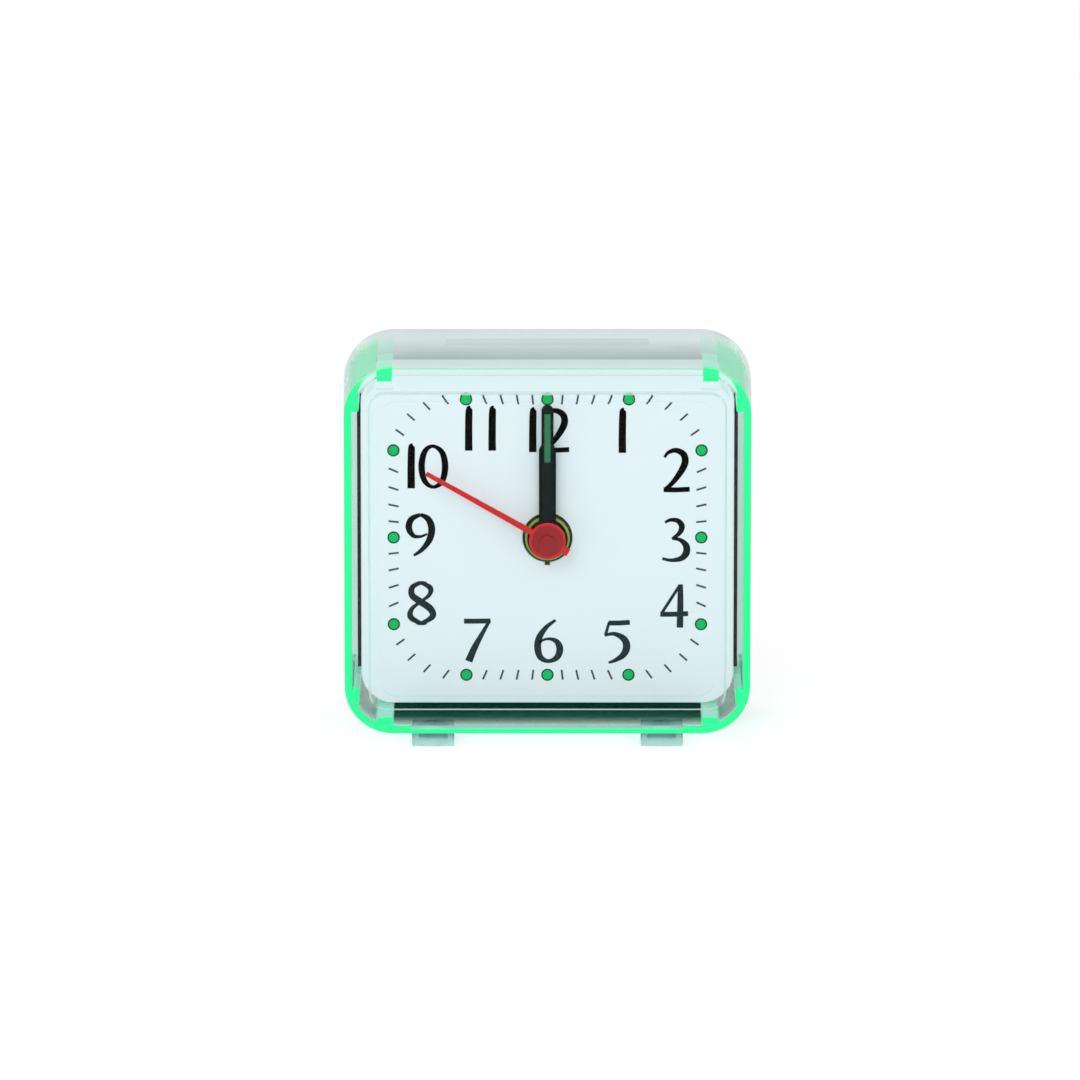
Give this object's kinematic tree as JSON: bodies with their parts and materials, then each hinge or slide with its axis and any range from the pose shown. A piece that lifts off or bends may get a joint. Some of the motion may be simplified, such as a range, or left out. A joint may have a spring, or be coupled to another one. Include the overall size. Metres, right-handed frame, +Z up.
{
  "type": "quartz alarm clock",
  "caption": "Small square desk alarm clock: tinted clear case, raised clear lens, recessed white dial, geared hands, rear setting knobs, alarm switch and battery door.",
  "frame": {"origin": "on the table under the middle of the clock, at the centre of its bounding box's base", "axes": "+X to the right of a person facing the dial, +Y from the dial to the back, +Z up"},
  "size_m": [0.058, 0.0306, 0.0548],
  "materials": {
    "case_green": "clear tinted gloss",
    "clear_foot": "clear soft gloss",
    "lens_clear": "polished clear",
    "dial_white": "printed satin white",
    "white_plastic": "moulded satin",
    "black_plastic": "moulded satin",
    "hand_black": "satin black",
    "hand_red": "translucent red gloss",
    "hand_lime": "satin lime",
    "knob_black": "moulded satin",
    "wheel_plastic": "natural moulded",
    "steel": "bright",
    "copper": "enamelled wire",
    "brass": "stamped",
    "magnet": "sintered",
    "board": "laminate",
    "cell_wrap": "plain coloured wrap"
  },
  "bodies": {
    "case": {"case_shell": "case_green", "case_feet": "clear_foot", "front_lens": "lens_clear", "dial_plate": "dial_white", "dial_tray": "white_plastic", "centre_bush": "black_plastic", "movement_front_plate": "black_plastic", "movement_back_plate": "black_plastic", "movement_screws": "steel", "rear_cover": "white_plastic", "motor_stator": "steel", "coil_bobbin": "black_plastic", "coil_winding": "copper", "circuit_board": "board", "chip_blob": "black_plastic", "quartz_crystal": "steel", "buzzer": "black_plastic", "alarm_contact_leaf": "brass", "battery_cell": "cell_wrap", "battery_spring_contact": "steel", "battery_plate_contact": "steel"},
    "seconds": {"second_wheel": "wheel_plastic", "second_hand": "hand_red"},
    "third": {"third_wheel": "wheel_plastic"},
    "centre": {"centre_wheel": "wheel_plastic"},
    "intermediate": {"intermediate_wheel": "wheel_plastic"},
    "rotor": {"rotor_pinion": "wheel_plastic", "rotor_magnet": "magnet"},
    "minutes": {"minute_pipe": "wheel_plastic", "minute_hand": "hand_black"},
    "motion": {"motion_wheel": "wheel_plastic"},
    "hours": {"hour_wheel": "wheel_plastic", "hour_hand": "hand_black"},
    "time_setting": {"time_set_shaft": "wheel_plastic", "time_set_knob": "knob_black"},
    "alarm": {"alarm_wheel": "wheel_plastic", "alarm_hand": "hand_lime"},
    "alarm_setting": {"alarm_set_shaft": "wheel_plastic", "alarm_set_knob": "knob_black"},
    "alarm_slider": {"alarm_switch": "knob_black"},
    "door": {"battery_door": "white_plastic"}
  },
  "joints": [
    {"name": "second_spin", "type": "hinge", "parent": "case", "child": "seconds", "pos_m": [0, 0, 0.02815], "axis": [0, 1, 0], "continuous": true},
    {"name": "third_spin", "type": "hinge", "parent": "case", "child": "third", "pos_m": [-0.00125, 0, 0.03524], "axis": [0, 1, 0], "continuous": true},
    {"name": "centre_spin", "type": "hinge", "parent": "case", "child": "centre", "pos_m": [0, 0, 0.02815], "axis": [0, 1, 0], "continuous": true},
    {"name": "intermediate_spin", "type": "hinge", "parent": "case", "child": "intermediate", "pos_m": [0.00624, 0, 0.03175], "axis": [0, 1, 0], "continuous": true},
    {"name": "rotor_spin", "type": "hinge", "parent": "case", "child": "rotor", "pos_m": [0.0115, 0, 0.03367], "axis": [0, 1, 0], "continuous": true},
    {"name": "minute_spin", "type": "hinge", "parent": "case", "child": "minutes", "pos_m": [0, 0, 0.02815], "axis": [0, 1, 0], "continuous": true},
    {"name": "motion_spin", "type": "hinge", "parent": "case", "child": "motion", "pos_m": [-0.006, 0, 0.02815], "axis": [0, 1, 0], "continuous": true},
    {"name": "hour_spin", "type": "hinge", "parent": "case", "child": "hours", "pos_m": [0, 0, 0.02815], "axis": [0, 1, 0], "continuous": true},
    {"name": "time_knob_spin", "type": "hinge", "parent": "case", "child": "time_setting", "pos_m": [-0.0112, 0, 0.03115], "axis": [0, 1, 0], "continuous": true},
    {"name": "alarm_spin", "type": "hinge", "parent": "case", "child": "alarm", "pos_m": [0, 0, 0.02815], "axis": [0, 1, 0], "continuous": true},
    {"name": "alarm_knob_spin", "type": "hinge", "parent": "case", "child": "alarm_setting", "pos_m": [0.00655, 0, 0.02356], "axis": [0, 1, 0], "continuous": true},
    {"name": "alarm_switch_slide", "type": "slide", "parent": "case", "child": "alarm_slider", "axis": [1, 0, 0], "range_m": [0, 0.003]},
    {"name": "battery_door_swing", "type": "hinge", "parent": "case", "child": "door", "pos_m": [0, 0.01247, 0.00562], "axis": [-1, 0, 0], "range_deg": [0, 75]}
  ],
  "couplings": [
    {"joint": "third_spin", "follows": "second_spin", "ratio": -0.125},
    {"joint": "centre_spin", "follows": "second_spin", "ratio": 0.016667},
    {"joint": "intermediate_spin", "follows": "second_spin", "ratio": -5},
    {"joint": "rotor_spin", "follows": "second_spin", "ratio": 30},
    {"joint": "motion_spin", "follows": "minute_spin", "ratio": -0.33333},
    {"joint": "hour_spin", "follows": "minute_spin", "ratio": 0.083333},
    {"joint": "time_knob_spin", "follows": "minute_spin", "ratio": 1},
    {"joint": "alarm_knob_spin", "follows": "alarm_spin", "ratio": -3}
  ]
}
